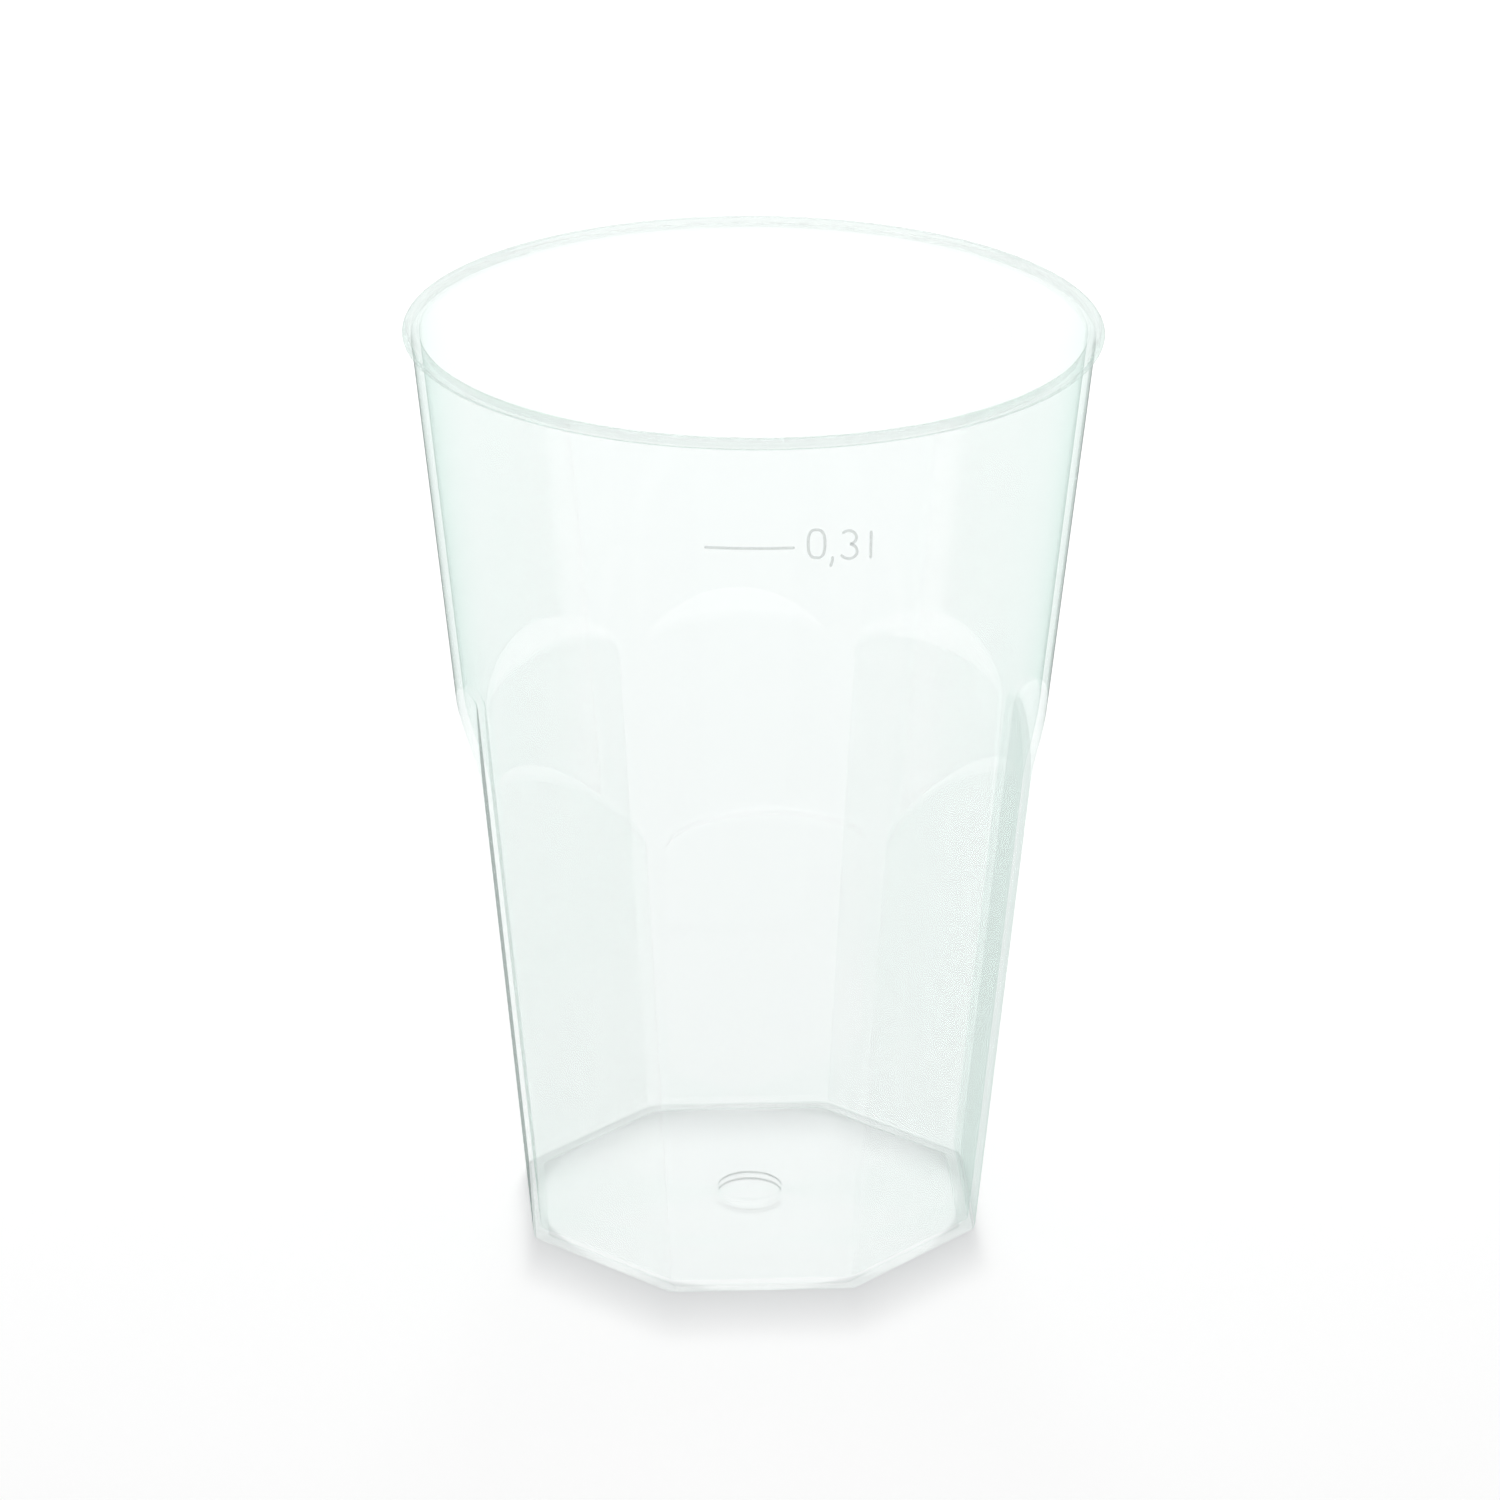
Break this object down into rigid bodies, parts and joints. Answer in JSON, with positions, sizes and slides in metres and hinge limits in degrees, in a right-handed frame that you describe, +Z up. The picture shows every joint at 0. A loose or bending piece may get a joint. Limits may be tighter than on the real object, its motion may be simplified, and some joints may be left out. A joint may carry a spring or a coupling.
{
  "type": "plastic cup",
  "caption": "Clear one-piece tumbler with a round lipped mouth and an octagonal lower body of arched flat panels.",
  "frame": {"origin": "middle of the foot, on the surface that the cup stands on", "axes": "+Z up along the cup's axis, one flat panel faces -Y"},
  "size_m": [0.081, 0.081, 0.111],
  "materials": {
    "cup": "clear injection-moulded plastic with a faint green tint and polished walls"
  },
  "bodies": {
    "root": {"cup": "cup"}
  },
  "joints": []
}
